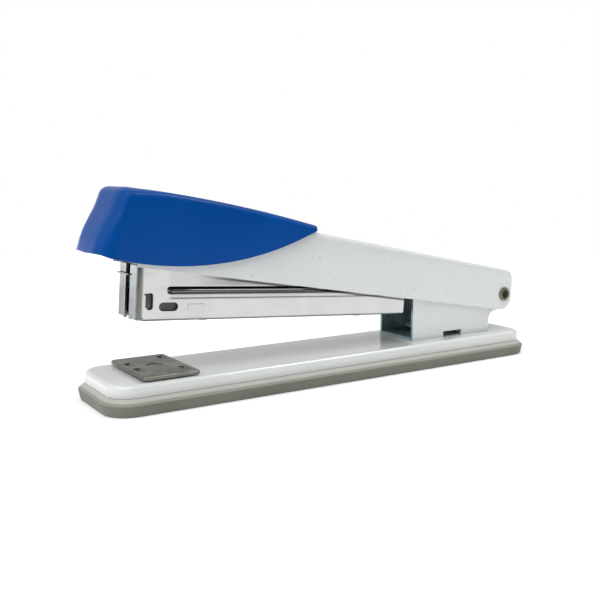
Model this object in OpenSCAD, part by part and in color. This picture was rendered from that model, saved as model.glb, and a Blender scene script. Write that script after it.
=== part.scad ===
// Desk stapler: pressed-steel base, hinged chrome magazine, steel handle with a moulded cap.
// Millimetres. +X runs from the nose to the hinge pin, +Y across, +Z up.
// The origin is the centre of the base pad's underside.

/* [Base] */
// Length of the base pad
pad_length = 165.6; // [164:0.1:168]
// Width of the base pad
pad_width = 34.6; // [34:0.1:38]
// Corner radius of the base pad in plan
pad_corner = 8.6; // [7.5:0.1:11]
// Height of the base plate's top face above the table
base_top = 8.7; // [8.5:0.1:9.2]
// How far the pad stands out past the base plate
pad_margin = 2.0; // [1.6:0.1:2.4]
// Thickness of the base plate's sheet
base_sheet = 1.0; // [0.8:0.1:1.2]
// Radius of the base plate's upper edge
base_edge = 1.5; // [1.2:0.1:2]

/* [Hinge] */
// Place of the hinge pin along the base
pin_x = 74.1; // [73:0.1:75]
// Height of the hinge pin above the table
pin_z = 22.25; // [22:0.05:22.5]
// Radius of the hinge pin's shank
pin_radius = 2.0; // [1.8:0.1:2.2]
// Radius of the flared head at each end of the pin
pin_head_radius = 2.5; // [2.4:0.1:3]
// Radial running clearance of the parts that turn on the pin
pin_clearance = 0.06; // [0.04:0.01:0.1]

/* [Magazine] */
// Angle of the magazine at rest, nose up
magazine_pitch = 4.0; // [3.8:0.1:4.2]
// Distance from the pin to the front face of the nose
nose_reach = 144.7; // [144:0.1:145]
// Outside width of the magazine case
magazine_width = 15.0; // [14.8:0.1:15.2]
// Sheet thickness of the magazine case
magazine_sheet = 0.7; // [0.6:0.1:0.8]
// Depth of the case's underside below the line through the pin
magazine_drop = 7.1; // [6.9:0.1:7.3]
// Height of the case's upper edge above the line through the pin
magazine_rise = 8.9; // [8.5:0.1:9.2]
// Length of the arms that run from the trough's rear end to the pin
arm_length = 46.0; // [45:0.5:48]
// Width of the staple rail, inside the crown of a 24/6 staple
rail_width = 11.4; // [11.2:0.1:11.6]

/* [Handle] */
// Slope of the handle's top face, nose up
handle_pitch = 11.4; // [11.3:0.1:11.5]
// Outside width of the steel handle
handle_width = 20.8; // [20.6:0.1:21.2]
// Sheet thickness of the handle
handle_sheet = 0.9; // [0.8:0.1:1]
// Distance from the pin up to the handle's top face
handle_rise = 9.2; // [9:0.1:9.4]
// Distance from the pin to the handle's front edge
handle_reach = 145.6; // [144:0.1:147]
// Outside width of the moulded cap
cap_width = 23.8; // [23.6:0.1:24.4]

/* [Anvil] */
// Size of the anvil plate along the base
anvil_length = 17.7; // [17:0.1:18]
// Size of the anvil plate across the base
anvil_width = 27.4; // [26:0.1:27.6]
// Thickness of the anvil plate
anvil_thickness = 1.08; // [1:0.02:1.2]
// Place of the anvil's centre along the base
anvil_x = -62.4; // [-62.8:0.1:-62]
// Lift of the anvil when its button is pressed
anvil_lift = 1.5; // [1:0.1:1.5]

/* [Hidden] */
$fn = 48;
CUT = 0.5;                                  // how far a cutting tool runs past a face
WIDE = 60;                                  // a cutting tool wider than the whole stapler

plate_length = pad_length - 2 * pad_margin;
plate_width = pad_width - 2 * pad_margin;
plate_corner = pad_corner - pad_margin;
pad_gap = 0.04;                             // gap between the pad's bevel and the base plate
plate_skirt = 2.0;                          // height of the base plate's lower edge
pad_rim = 3.4;                              // top of the pad's upright outer face
pad_lip = 5.2;                              // where the pad's bevel meets the base plate
pad_core = base_top - base_sheet - 0.2;     // top of the pad's solid middle
pad_foot = 0.5;                             // radius of the pad's lower edge
pad_taper = 0.9;                            // how far the pad's side leans in towards the table
well_radius = 8.5;                          // hole through the pad for the anvil button
post_radius = 1.75;                         // post that joins the anvil to its button
anvil_boss = 0.4;                           // height of the boss that the anvil turns on
anvil_boss_radius = 6.5;
anvil_seat = base_top + anvil_boss;

ear_inner = 8.2;                            // inner face of each bracket ear
ear_sheet = 1.0;
ear_outer = ear_inner + ear_sheet;
ear_front = 30.9;
ear_rear = 67.8;
floor_top = base_top + ear_sheet;
rivet_x = [56.0, 63.0];                     // rivets that hold the bracket and the lift spring
rivet_radius = 1.5;
rivet_head = 2.8;
rivet_cap = 0.9;                            // thickness of a rivet's head
leaf_sheet = 0.6;                           // thickness of the lift spring's leaf

case_half = magazine_width / 2;
case_inner = case_half - magazine_sheet;
case_bend = 1.1;                            // outside bend radius of the case
case_floor = -magazine_drop + magazine_sheet;
bead_front = -135;                          // stiffening bead along each side of the case
bead_rear = -50;
bead_w = 0.75;
bead_radius = 1.57;
bead_depth = 1.07;                          // distance of the bead's centre inside the wall's face
slot_front = -134.4;                        // front end of the long slot above the bead
window_u = [-136.6, -133.1];                // ends of the window that shows the staples
window_w = -2.9;
window_radius = 1.3;
rail_half = rail_width / 2;
rail_sheet = 0.8;
rail_top = 0.3;
rail_front = -nose_reach + 1.8;
rail_rear = -arm_length - 3.6;
rail_rivet = 0.8;                           // radius of the rivets that hold the rail
rail_rivet_u = [-122, -64];
rail_rivet_y = 3.9;
rod_w = -3.0;                               // height of the guide rod in the magazine's frame
rod_radius = 0.9;
pusher_front = rail_front + 0.4;
pusher_length = 11.0;
nose_slot = 1.65;                           // half width of the slot between the nose flanges
blade_outer = nose_reach - magazine_sheet - 0.12;
blade_sheet = 0.5;
blade_half = 6.2;
blade_tip = 5.4;                            // height of the blade's lower end at rest
blade_head = 24.0;                          // height of the blade's upper end
lip_half = 4.15;                            // half width of the lip in front of the nose
lip_shift = 2.75;                           // how far the lip stands to one side
leaf_thick = 0.9;
leaf_rivet_u = [-52, -66];
leaf_front = -143.95;                       // front end of the driver leaf's tongue
leaf_tip = 2.88;                            // underside of the driver leaf where its tip bends, handle frame

handle_half = handle_width / 2;
handle_inner = handle_half - handle_sheet;
handle_corner = 1.8;                        // radius of the handle's upper edges
handle_under = 5.95;                        // distance from the pin down to the handle's lower edge
handle_flare = 1.6;                         // angle between the handle's top face and lower edge
cap_half = cap_width / 2;
leaf_top = handle_rise - handle_sheet - leaf_thick - 0.05;

// ---- helpers ----

// Points of an arc from angle a to angle b in n steps
function arc(cx, cy, r, a, b, n) = [for (i = [0 : n]) let (t = a + (b - a) * i / n)
    [cx + r * cos(t), cy + r * sin(t)]];

// Rounded rectangle centred on the origin, as an outline
function rounded(l, w, r, n = 8) = concat(
    arc(l / 2 - r, w / 2 - r, r, 0, 90, n),
    arc(-l / 2 + r, w / 2 - r, r, 90, 180, n),
    arc(-l / 2 + r, -w / 2 + r, r, 180, 270, n),
    arc(l / 2 - r, -w / 2 + r, r, 270, 360, n));

// Extrudes an X-Z outline across the stapler, centred on Y = 0
module across(width) rotate([90, 0, 0]) linear_extrude(width, center = true) children();

// Extrudes a Y-Z outline along X from x0 to x1
module along(x0, x1) translate([x0, 0, 0]) rotate([90, 0, 90]) linear_extrude(x1 - x0) children();

// A cylinder whose axis runs across the stapler
module cross_pin(x, z, r, width) translate([x, 0, z]) rotate([90, 0, 0])
    cylinder(h = width, r = r, center = true);

// A pair of things at +y and -y, the second mirrored from the first
module both_sides() for (s = [-1, 1]) scale([1, s, 1]) children();

// Rivet holes or shanks along the base
module rivet_line(z, h, r) for (x = rivet_x) translate([x, 0, z]) cylinder(h = h, r = r);

// The magazine's own frame: the origin on the pin, X along the magazine
module magazine_frame() translate([pin_x, 0, pin_z]) rotate([0, magazine_pitch, 0]) children();

// The handle's own frame: the origin on the pin, X along the handle's top face
module handle_frame() translate([pin_x, 0, pin_z]) rotate([0, handle_pitch, 0]) children();

// Coil spring along Z, with its wire running from z = 0 to z = length
module coil(radius, wire, length, turns, steps = 12, sides = 6) {
    rings = turns * steps;
    rise = length - 2 * wire;
    points = [for (i = [0 : rings]) let (a = 360 * i / steps, z = wire + rise * i / rings)
              for (j = [0 : sides - 1]) let (b = 360 * j / sides, q = radius + wire * cos(b))
              [q * cos(a), q * sin(a), z + wire * sin(b)]];
    walls = [for (i = [0 : rings - 1], j = [0 : sides - 1], half = [0, 1])
             let (k = (j + 1) % sides, a = i * sides, b = a + sides)
             half == 0 ? [a + j, b + j, b + k] : [a + j, b + k, a + k]];
    first = [for (j = [0 : sides - 1]) j];
    last = [for (j = [sides - 1 : -1 : 0]) rings * sides + j];
    polyhedron(points, concat([first], walls, [last]), convexity = 10);
}

// A solid through a stack of rounded rectangles: each level is [inset from the full size, height]
module layered(l, w, r, levels, n = 8) {
    ring = 4 * (n + 1);
    top = (len(levels) - 1) * ring;
    points = [for (v = levels) for (p = rounded(l - 2 * v[0], w - 2 * v[0], r - v[0], n))
              [p[0], p[1], v[1]]];
    walls = [for (k = [0 : len(levels) - 2], i = [0 : ring - 1], half = [0, 1])
             let (j = (i + 1) % ring, a = k * ring, b = a + ring)
             half == 0 ? [a + i, b + i, b + j] : [a + i, b + j, a + j]];
    lower = [for (i = [0 : ring - 1]) i];
    upper = [for (i = [ring - 1 : -1 : 0]) top + i];
    polyhedron(points, concat([lower], walls, [upper]), convexity = 10);
}

// ---- base ----

module base_pad() color([0.47, 0.47, 0.43]) difference() {
    layered(pad_length, pad_width, pad_corner, concat(
        [for (t = [0 : 30 : 90]) [pad_taper + pad_foot * (1 - sin(t)), pad_foot * (1 - cos(t))]],
        [[0, pad_rim], [pad_margin - pad_gap, pad_lip], [pad_margin - pad_gap, plate_skirt - 0.1],
         [pad_margin + base_sheet + 0.3, plate_skirt - 0.1], [pad_margin + base_sheet + 0.3, pad_core]]));
    translate([anvil_x, 0, -CUT]) cylinder(h = base_top + 1, r = well_radius);
    rivet_line(pad_core - 2, 3, rivet_head + 0.4);
}

module base_plate() color([0.86, 0.87, 0.88]) difference() {
    union() {
        layered(plate_length, plate_width, plate_corner, concat(
            [[base_sheet, base_top - base_sheet], [base_sheet, plate_skirt], [0, plate_skirt]],
            [for (t = [0 : 22.5 : 90]) [base_edge * (1 - cos(t)), base_top - base_edge * (1 - sin(t))]]));
        translate([anvil_x, 0, base_top - 0.5]) cylinder(h = anvil_boss + 0.5, r = anvil_boss_radius);
    }
    translate([anvil_x, 0, 0]) cylinder(h = base_top + 1, r = post_radius + 0.1);
    rivet_line(0, WIDE, rivet_radius);
}

// Side outline of the bracket's ears
function ear_outline() = concat(
    [[ear_front, base_top], [ear_front, pin_z + 4.9]],
    arc(pin_x, pin_z, 3.6, 95, -95, 16),
    [[pin_x - 2.2, 16.2]],
    arc(ear_rear + 3.2, 13.0, 3.2, 95, 180, 8),
    [[ear_rear, base_top]]);

module hinge_bracket() color([0.86, 0.87, 0.88]) difference() {
    across(2 * ear_outer) polygon(ear_outline());
    translate([0, 0, floor_top]) linear_extrude(WIDE) square([4 * WIDE, 2 * ear_inner], center = true);
    cross_pin(pin_x, pin_z, pin_radius, WIDE);
    // window at the foot of each ear
    translate([49.6, 0, floor_top]) cube([8.6, WIDE, 2.0], center = true);
    // shallow press mark on each ear
    both_sides() translate([38.4, ear_outer, 20.6]) cube([0.35, 0.3, 4.4], center = true);
    rivet_line(0, WIDE, rivet_radius);
}

module bracket_rivets() color([0.62, 0.60, 0.55]) {
    lower = base_top - base_sheet;
    rivet_line(lower - rivet_cap, rivet_cap, rivet_head);
    rivet_line(lower - 0.1, base_sheet + ear_sheet + leaf_sheet + 0.2, rivet_radius);
    rivet_line(floor_top + leaf_sheet, rivet_cap, rivet_head);
}

module hinge_pin() color([0.45, 0.42, 0.36]) difference() {
    union() {
        cross_pin(pin_x, pin_z, pin_radius, handle_width + 0.8);
        both_sides() translate([0, handle_half + 0.35, 0]) cross_pin(pin_x, pin_z, pin_head_radius, 0.6);
    }
    cross_pin(pin_x, pin_z, 1.2, WIDE);
}

// Outline of a bent strip of sheet, t to one side of its path
function strip(path, t) = concat(path, [for (i = [len(path) - 1 : -1 : 0]) let (
    a = path[max(i - 1, 0)], b = path[min(i + 1, len(path) - 1)], d = (b - a) / norm(b - a))
    path[i] + t * [-d[1], d[0]]]);

// Arched leaf: riveted flat at the rear, over a crest under the arms, down to a rolled front end
module lift_spring() color([0.70, 0.70, 0.68]) difference() {
    across(9) polygon(strip(concat(
        arc(39.6, floor_top + 2.05, 1.4, -30, -230, 14),
        arc(45.0, floor_top + 9.1, 2.5, 130, 26, 8),
        arc(52.7, floor_top + leaf_sheet + 1.2, 1.2, 206, 270, 5),
        [[66.0, floor_top + leaf_sheet]]), -leaf_sheet));
    rivet_line(0, WIDE, rivet_radius);
}

// ---- anvil ----

// Dimple across the anvil that bends one leg of the staple
module dimple(x, y) translate([x, y, anvil_thickness + 1.45]) rotate([90, 0, 0])
    cylinder(h = 5.2, r = 1.9, center = true);

module anvil_plate() color([0.48, 0.47, 0.45]) translate([anvil_x, 0, anvil_seat + 0.02]) difference() {
    layered(anvil_length, anvil_width, 1.2,
        [[0, 0], [0, anvil_thickness - 0.3], [0.3, anvil_thickness]], n = 4);
    translate([0, 0, -CUT]) cylinder(h = 3, r = post_radius);
    translate([0, 0, anvil_thickness - 0.45]) cylinder(h = 1, r = 2.6);
    // the front pair turns the legs in, the rear pair turns them out
    both_sides() {
        dimple(-6.2, 3.9);
        dimple(6.2, 8.3);
    }
}

module anvil_post() color([0.55, 0.54, 0.52]) translate([anvil_x, 0, 0]) {
    translate([0, 0, 1.0]) cylinder(h = anvil_seat + anvil_thickness - 1.3, r = post_radius);
    translate([0, 0, anvil_seat + anvil_thickness - 0.43]) cylinder(h = 0.25, r = 2.55);
    translate([0, 0, 0.7]) cylinder(h = 0.7, r = 3.0);
}

module anvil_button() color([0.30, 0.31, 0.32]) translate([anvil_x, 0, 0]) difference() {
    union() {
        translate([0, 0, 0.9]) cylinder(h = 1.8, r = 7.8);
        translate([0, 0, 2.6]) cylinder(h = 1.4, r = 3.4);
    }
    cylinder(h = 9, r = post_radius + 0.08);
    cylinder(h = 1.5, r = 3.2);
}

module anvil_spring() color([0.75, 0.75, 0.74]) translate([anvil_x, 0, 2.75])
    coil(radius = 4.4, wire = 0.4, length = base_top - base_sheet - 2.8, turns = 3);

// ---- magazine ----

// Cross-section of the case: an open-topped channel with rounded lower corners
module case_section(half, low, bend) polygon(concat(
    [[half, magazine_rise + CUT], [-half, magazine_rise + CUT]],
    arc(-half + bend, low + bend, bend, 180, 270, 6),
    arc(half - bend, low + bend, bend, 270, 360, 6)));

// Side outline of the case, with the arms that reach back to the pin
function case_outline() = concat(
    [[-nose_reach + case_bend, -magazine_drop], [-nose_reach + case_bend, magazine_rise],
     [-60, magazine_rise - 0.3], [-20, 6.0]],
    arc(0, 0, 3.7, 70, -70, 12),
    [[-8, -4.5], [-arm_length + 0.6, -0.7], [-arm_length, -1.3], [-arm_length, -magazine_drop + 0.6],
     [-arm_length - 0.6, -magazine_drop]]);

// Bent channel that the whole case is cut from
module case_channel() intersection() {
    difference() {
        along(-nose_reach, 10) case_section(case_half, -magazine_drop, case_bend);
        along(-nose_reach - CUT, 11) case_section(case_inner, case_floor, case_bend - magazine_sheet);
    }
    across(WIDE) polygon(case_outline());
}

// Nose flange, bent in from the side at +y
module nose_flange() translate([0, 0, -magazine_drop])
    linear_extrude(magazine_drop + magazine_rise) polygon(concat(
        arc(-nose_reach + case_bend, case_half - case_bend, case_bend, 90, 180, 6),
        [[-nose_reach, nose_slot + 0.3], [-nose_reach + 0.3, nose_slot],
         [-nose_reach + magazine_sheet, nose_slot]],
        arc(-nose_reach + case_bend, case_half - case_bend, case_bend - magazine_sheet, 180, 90, 4)));

// Stiffening bead along the side at +y
module side_bead() intersection() {
    along(bead_front, bead_rear) translate([case_half - bead_depth, bead_w]) circle(r = bead_radius);
    translate([bead_front - 5, case_inner + 0.2, -5])
        cube([bead_rear - bead_front + 10, 1.8 + magazine_sheet, 12]);
}

// Openings in both side walls: the long slot, the window behind the nose and the staple window
module side_windows() {
    translate([slot_front, -WIDE / 2, 2.1]) cube([72, WIDE, 0.95]);
    cross_pin(slot_front, 2.2, 0.85, WIDE);
    translate([-142.4, -WIDE / 2, -3.7]) cube([2.3, WIDE, 4.8]);
    for (u = window_u) cross_pin(u, window_w, window_radius, WIDE);
    translate([window_u[0], -WIDE / 2, window_w - window_radius])
        cube([window_u[1] - window_u[0], WIDE, 2 * window_radius]);
}

// Web that ties the arms together behind the trough
module arm_web() difference() {
    across(2 * case_inner + 0.1)
        polygon([[-arm_length + 0.4, -0.6], [-12, -4.1], [-12, -3.4], [-arm_length + 0.4, 0.1]]);
    along(-arm_length - CUT, 0) translate([case_half + 0.5, -6]) square([4, 12]);
}

module magazine_case() color([0.78, 0.79, 0.80]) magazine_frame() {
    difference() {
        union() {
            case_channel();
            both_sides() {
                nose_flange();
                side_bead();
            }
        }
        side_windows();
        // relief notch at the foot of each nose bend
        both_sides() translate([-nose_reach + 1.3, case_half, -magazine_drop])
            cube([1.0, 2.6, 1.6], center = true);
        // mouth through which the staple leaves
        translate([-nose_reach + magazine_sheet, -case_inner, -magazine_drop - CUT])
            cube([1.25, 2 * case_inner, 3]);
        cross_pin(0, 0, pin_radius + pin_clearance, WIDE);
        rail_holes(-magazine_drop - CUT);
    }
    arm_web();
}

// Shanks of the rivets that hold the rail, standing on height w
module rail_holes(w, h = 3, r = rail_rivet) for (u = rail_rivet_u, s = [-1, 1])
    translate([u, s * rail_rivet_y, w]) cylinder(h = h, r = r);

module staple_rail() color([0.70, 0.71, 0.72]) magazine_frame() difference() {
    rail_length = rail_rear - rail_front;
    translate([rail_front, -rail_half, case_floor]) cube([rail_length, rail_width, rail_top - case_floor]);
    // hollow inside, open below between the two feet
    translate([rail_front - CUT, -rail_half + rail_sheet, case_floor + 0.7])
        cube([rail_length + 1, rail_width - 2 * rail_sheet, rail_top - rail_sheet - case_floor - 0.7]);
    translate([rail_front - CUT, -2.4, case_floor - CUT]) cube([rail_length + 1, 4.8, 2]);
    // slot along the top for the pusher's tongue
    translate([rail_front + 2.5, -1.5, rail_top - 2]) cube([rail_length, 3, 3]);
    rail_holes(case_floor - CUT);
}

module rail_rivets() color([0.62, 0.61, 0.58]) magazine_frame() {
    rail_holes(-magazine_drop - 0.45, 0.45, 1.4);
    rail_holes(-magazine_drop - 0.1, magazine_sheet + 0.9);
}

module rail_end_plate() color([0.66, 0.67, 0.68]) magazine_frame() difference() {
    translate([rail_rear + 0.05, -case_inner + 0.05, case_floor + 0.05])
        cube([1.2, 2 * case_inner - 0.1, 9.0]);
    translate([rail_rear - 1, 0, rod_w]) rotate([0, 90, 0]) cylinder(h = 4, r = rod_radius);
}

module guide_rod() color([0.72, 0.72, 0.70]) magazine_frame() translate([pusher_front + 4, 0, rod_w])
    rotate([0, 90, 0]) cylinder(h = rail_rear + 1.25 - pusher_front - 4, r = rod_radius);

module follower_spring() color([0.74, 0.74, 0.73]) magazine_frame()
    translate([pusher_front + pusher_length + 0.05, 0, rod_w]) rotate([0, 90, 0])
        coil(radius = 1.6, wire = 0.28, length = rail_rear - pusher_front - pusher_length - 0.1,
             turns = 24, steps = 10, sides = 5);

module pusher() color([0.58, 0.59, 0.60]) magazine_frame() difference() {
    union() {
        // saddle over the rail
        difference() {
            translate([pusher_front, -case_inner + 0.25, -5.0])
                cube([pusher_length, 2 * case_inner - 0.5, 6.3]);
            translate([pusher_front - CUT, -rail_half - 0.25, -6])
                cube([pusher_length + 1, rail_width + 0.5, 6.55]);
        }
        // tongue through the rail's slot, and the lug that rides on the rod
        translate([pusher_front + 2.4, -1.2, -2.5]) cube([pusher_length - 2.4, 2.4, 3.4]);
        translate([pusher_front + 2.4, -2.1, -4.7]) cube([pusher_length - 2.4, 4.2, 3.6]);
    }
    translate([pusher_front, 0, rod_w]) rotate([0, 90, 0])
        cylinder(h = pusher_length + 2, r = rod_radius + 0.07);
}

module spring_seat() color([0.66, 0.67, 0.68]) magazine_frame() difference() {
    translate([-45, -case_inner + 0.05, 5.4]) cube([12, 2 * case_inner - 0.1, 0.8]);
    translate([-39, 0, 5]) cylinder(h = 2, r = 1.2);
}

// ---- handle ----

// Rivets that hold the driver leaf, or the holes for them
module leaf_rivet_line(w, h, r = 1.5) for (u = leaf_rivet_u) translate([u, 0, w]) cylinder(h = h, r = r);

// Side outline of the handle in its own frame
function handle_outline(top) = concat(
    [[-handle_reach, top], [0.9, top]],
    arc(0.6, top - 2.6, 2.6, 70, 20, 5),
    [[4.1, 1.0]],
    arc(-0.6, -1.25, 4.7, 15, -88, 12),
    [[-handle_reach, -handle_under - (handle_reach - 1) * tan(handle_flare)]]);

// Cross-section of the handle's outside or inside, with rounded upper corners
module handle_section(half, top, corner) polygon(concat(
    arc(half - corner, top - corner, corner, 0, 90, 6),
    arc(-half + corner, top - corner, corner, 90, 180, 6),
    [[-half, -WIDE], [half, -WIDE]]));

module handle_solid() intersection() {
    across(handle_width) polygon(handle_outline(handle_rise));
    along(-handle_reach - CUT, 12) handle_section(handle_half, handle_rise, handle_corner);
}

module handle_shell() color([0.83, 0.84, 0.83]) handle_frame() difference() {
    handle_solid();
    along(-handle_reach - CUT, 12)
        handle_section(handle_inner, handle_rise - handle_sheet, handle_corner - handle_sheet);
    cross_pin(0, 0, pin_radius + pin_clearance, WIDE);
    leaf_rivet_line(0, 2 * handle_rise);
}

// Side outline of the cap: sloping convex front, long shallow top arc, belly arc below
cap_front = [[-82.5, 45.4], [-82.2, 46.5], [-81.4, 48.9], [-80.1, 51.9], [-78.5, 54.8], [-76.75, 57.7]];
function cap_outline() = concat(cap_front,
    arc(-72.3, 60.6, 2.95, 165, 83, 5),
    arc(-132.5, -382.2, 449.81, 82.0, 74.36, 10),
    [[-10.3, 50.6], [-9.95, 50.15]],
    arc(-52.4, 142.7, 102, 294.4, 253.9, 20));

module cap_body() {
    intersection() {
        across(cap_width) polygon(cap_outline());
        translate([-45, 0, 0]) linear_extrude(WIDE * 2) polygon(rounded(75.6, cap_width, 4.5));
    }
    // lip that rests on the handle at the cap's rear end
    across(handle_width - 1.0) polygon([[-19, 47.0], [-10.3, 47.0], [-10.3, 50.3], [-19, 50.9]]);
}

module handle_cap() color([0.06, 0.27, 0.58]) difference() {
    cap_body();
    // hollow that fits over the steel handle
    handle_frame() along(-handle_reach - 2, 12) translate([0, 0.03])
        handle_section(handle_half + 0.05, handle_rise, handle_corner);
    // empty space between the cap's front wall and the steel handle
    across(handle_width - 0.3) polygon([[-80.9, 20], [-80.9, 45.5], [-79.8, 48.9], [-78.5, 51.9],
        [-76.9, 54.8], [-75.1, 57.7], [-73.7, 60.0], [-72.2, 61.4], [-69.5, 61.4], [-69.5, 20]]);
}

// Thin driver that moves on an arc about the pin, with a tab that runs in the nose slot
module blade_sector(r0, r1, half, w0, w1) rotate([90, 0, 0])
    rotate([0, 0, 180 - asin(w1 / r1)])
        rotate_extrude(angle = asin(w1 / r1) - asin(w0 / r1), $fn = 96)
            translate([r0, -half]) square([r1 - r0, 2 * half]);

module driver_blade() color([0.60, 0.61, 0.62]) magazine_frame() {
    lip_low = blade_tip + 0.3;
    lip_high = blade_tip + 0.75;
    difference() {
        blade_sector(blade_outer - blade_sheet, blade_outer, blade_half, blade_tip, blade_head);
        translate([-blade_outer, 0, 21.0]) cube([12, 8.4, 1.9], center = true);
    }
    // neck through the nose slot, and the lip that hooks round one flange
    blade_sector(blade_outer - 0.1, nose_reach + 0.5, nose_slot - 0.25, lip_low, lip_high);
    translate([0, lip_shift, 0])
        blade_sector(nose_reach + 0.2, nose_reach + 0.8, lip_half, lip_low, lip_high);
}

// Underside of the driver leaf in the handle's frame, raised by t, at each distance in us
function leaf_line(t, us) = [for (u = us) [u, t + (
    u < -137 ? leaf_tip + (u + 137) * tan(handle_pitch - magazine_pitch) :
    u < -80 ? leaf_tip + (u + 137) / 57 * (leaf_top - leaf_tip) : leaf_top)]];

module driver_leaf() color([0.35, 0.36, 0.37]) difference() {
    handle_frame() {
        across(12) polygon(concat(leaf_line(0, [-137, -80, -46]), leaf_line(leaf_thick, [-46, -80, -137])));
        across(8)
            polygon(concat(leaf_line(0, [leaf_front, -136]), leaf_line(leaf_thick, [-136, leaf_front])));
    }
    handle_frame() leaf_rivet_line(0, 2 * handle_rise);
}

module leaf_rivets() color([0.84, 0.85, 0.84]) handle_frame() {
    leaf_rivet_line(leaf_top - 0.85, 0.85, 2.6);
    leaf_rivet_line(handle_rise - 2.0, 2.0);
}

module handle_spring() color([0.74, 0.74, 0.73]) magazine_frame() translate([-39, 0, 6.25])
    coil(radius = 3.4, wire = 0.45, length = 6.4, turns = 4);

base_pad();
base_plate();
hinge_bracket();
bracket_rivets();
hinge_pin();
lift_spring();
anvil_plate();
anvil_post();
anvil_button();
anvil_spring();
magazine_case();
staple_rail();
rail_rivets();
rail_end_plate();
guide_rod();
follower_spring();
pusher();
spring_seat();
handle_shell();
handle_cap();
driver_blade();
driver_leaf();
leaf_rivets();
handle_spring();
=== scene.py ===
import math

import bmesh
import bpy
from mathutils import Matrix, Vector


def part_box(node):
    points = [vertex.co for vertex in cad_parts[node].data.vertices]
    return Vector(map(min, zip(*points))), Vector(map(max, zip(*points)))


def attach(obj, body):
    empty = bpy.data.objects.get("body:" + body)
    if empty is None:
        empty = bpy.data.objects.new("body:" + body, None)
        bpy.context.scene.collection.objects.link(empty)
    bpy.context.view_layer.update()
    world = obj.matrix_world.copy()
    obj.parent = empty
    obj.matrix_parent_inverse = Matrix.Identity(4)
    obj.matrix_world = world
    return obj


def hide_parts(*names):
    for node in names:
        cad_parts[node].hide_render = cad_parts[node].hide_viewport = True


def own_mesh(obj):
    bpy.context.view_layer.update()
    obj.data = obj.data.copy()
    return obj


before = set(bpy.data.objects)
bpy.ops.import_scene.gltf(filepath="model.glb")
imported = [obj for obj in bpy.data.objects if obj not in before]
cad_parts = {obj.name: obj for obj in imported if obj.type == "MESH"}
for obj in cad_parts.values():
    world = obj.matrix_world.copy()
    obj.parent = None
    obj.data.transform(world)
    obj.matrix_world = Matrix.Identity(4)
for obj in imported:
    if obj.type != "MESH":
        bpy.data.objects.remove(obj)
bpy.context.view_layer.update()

# Lengths in the helpers are millimetres, in the frame of the CAD model; MM turns them into metres.
MM = 0.001

MAGAZINE_PITCH = math.radians(4.0)
HANDLE_PITCH = math.radians(11.4)


def centre_mm(node):
    lo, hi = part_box(node)
    return (lo + hi) / 2 / MM


def span_mm(node):
    lo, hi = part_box(node)
    return (hi - lo) / MM


PIN = centre_mm("hinge_pin")


def tilted(u, y, w, pitch):
    c, s = math.cos(pitch), math.sin(pitch)
    return (PIN.x + u * c + w * s, y, PIN.z - u * s + w * c)


def mag(u, y, w):
    """A point in the magazine's own frame: u from the pin towards +X, w away from the table."""
    return tilted(u, y, w, MAGAZINE_PITCH)


def hnd(u, y, w):
    """A point in the handle's own frame."""
    return tilted(u, y, w, HANDLE_PITCH)


def mag_uw(point):
    """The u and w of a point in the magazine's own frame."""
    c, s = math.cos(MAGAZINE_PITCH), math.sin(MAGAZINE_PITCH)
    x, z = point.x - PIN.x, point.z - PIN.z
    return x * c - z * s, x * s + z * c


def straight(x, y, z):
    """A point in the frame of the CAD model, for the helpers that take a frame."""
    return (x, y, z)


# ---- material helpers ----

# the Mix node's sockets for two colours and their mix
MIX_A, MIX_B, MIX_OUT = 6, 7, 2


def new_material(name):
    """A node material with its tree and its shader."""
    m = bpy.data.materials.new(name)
    m.use_nodes = True
    nt = m.node_tree
    return m, nt, nt.nodes["Principled BSDF"]


def link(nt, a, b):
    nt.links.new(a, b)


def coords(nt, stretch=(1, 1, 1)):
    tc = nt.nodes.new("ShaderNodeTexCoord")
    mp = nt.nodes.new("ShaderNodeMapping")
    mp.inputs["Scale"].default_value = stretch
    link(nt, tc.outputs["Object"], mp.inputs["Vector"])
    return mp.outputs["Vector"]


def axes(nt, vector):
    """The X, Y and Z of a vector socket."""
    sep = nt.nodes.new("ShaderNodeSeparateXYZ")
    link(nt, vector, sep.inputs[0])
    return sep.outputs


def noise(nt, vector, size, detail=3.0, rough=0.55, distortion=0.0):
    """Noise whose features are about size millimetres."""
    n = nt.nodes.new("ShaderNodeTexNoise")
    n.inputs["Scale"].default_value = 1.0 / (size * MM)
    n.inputs["Detail"].default_value = detail
    n.inputs["Roughness"].default_value = rough
    n.inputs["Distortion"].default_value = distortion
    link(nt, vector, n.inputs["Vector"])
    return n.outputs["Fac"]


def remap(nt, value, source, target, smooth=True):
    """Takes a value from the source range to the target range, and stops at its ends."""
    m = nt.nodes.new("ShaderNodeMapRange")
    m.interpolation_type = "SMOOTHSTEP" if smooth else "LINEAR"
    for key, v in zip(("From Min", "From Max", "To Min", "To Max"), (*source, *target)):
        m.inputs[key].default_value = v
    link(nt, value, m.inputs["Value"])
    return m.outputs["Result"]


def mix_colour(nt, factor, a, b):
    """Mixes two colours, each given as an RGB triple or a socket."""
    m = nt.nodes.new("ShaderNodeMix")
    m.data_type = "RGBA"
    link(nt, factor, m.inputs["Factor"])
    for key, v in ((MIX_A, a), (MIX_B, b)):
        if isinstance(v, (tuple, list)):
            m.inputs[key].default_value = (*v, 1.0)
        else:
            link(nt, v, m.inputs[key])
    return m.outputs[MIX_OUT]


def maths(nt, op, a, b):
    """A sum, difference or product of sockets and numbers."""
    m = nt.nodes.new("ShaderNodeMath")
    m.operation = op
    for k, v in enumerate((a, b)):
        if isinstance(v, (int, float)):
            m.inputs[k].default_value = v
        else:
            link(nt, v, m.inputs[k])
    return m.outputs[0]


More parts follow.
